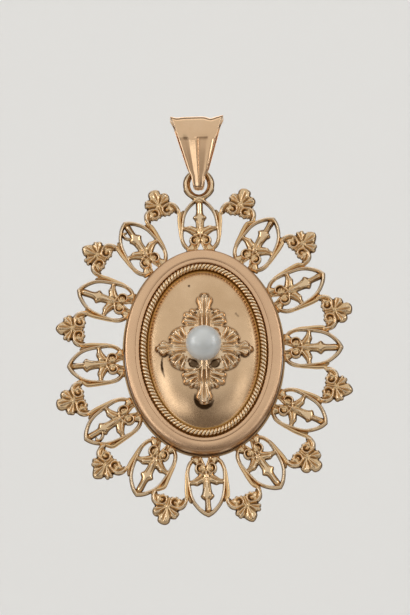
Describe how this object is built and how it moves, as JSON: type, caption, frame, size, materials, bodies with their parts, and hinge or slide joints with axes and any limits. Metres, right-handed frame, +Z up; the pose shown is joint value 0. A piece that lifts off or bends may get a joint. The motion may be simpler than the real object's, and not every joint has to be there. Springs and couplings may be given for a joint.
{
  "type": "oval medallion pendant",
  "caption": "Oval gold medallion with a pierced border of arches and palmettes, a domed centre with a leafy cross and a pearl, and a tapered swinging bail for a chain.",
  "frame": {"origin": "the seat of the chain: the middle of the inside of the bail's top bend, which is what the pendant hangs from", "axes": "+Z up, away from the medallion; the front with the pearl looks along -Y; +X is to the right as seen from the front"},
  "size_m": [0.0388, 0.0104, 0.0541],
  "materials": {
    "bail_gold": "polished gold",
    "border_gold": "worn cast gold",
    "case_gold": "satin gold",
    "bezel_gold": "polished rose gold",
    "dome_gold": "polished gold with fine scratches",
    "rope_gold": "twisted wire, dark in its grooves",
    "ornament_gold": "cast and chased gold",
    "cup_gold": "polished gold",
    "pearl_nacre": "pearl lustre"
  },
  "bodies": {
    "bail": {"bail": "bail_gold"},
    "medallion": {"openwork_border": "border_gold", "case_back": "case_gold", "bezel": "bezel_gold", "domed_cover": "dome_gold", "rope_wire": "rope_gold", "leaf_ornament": "ornament_gold", "pearl_cup": "cup_gold", "pearl": "pearl_nacre"}
  },
  "joints": [
    {"name": "bail_swing", "type": "hinge", "parent": "bail", "child": "medallion", "pos_m": [0, 0, -0.00687], "axis": [1, 0, 0], "range_deg": [-45, 45]}
  ]
}
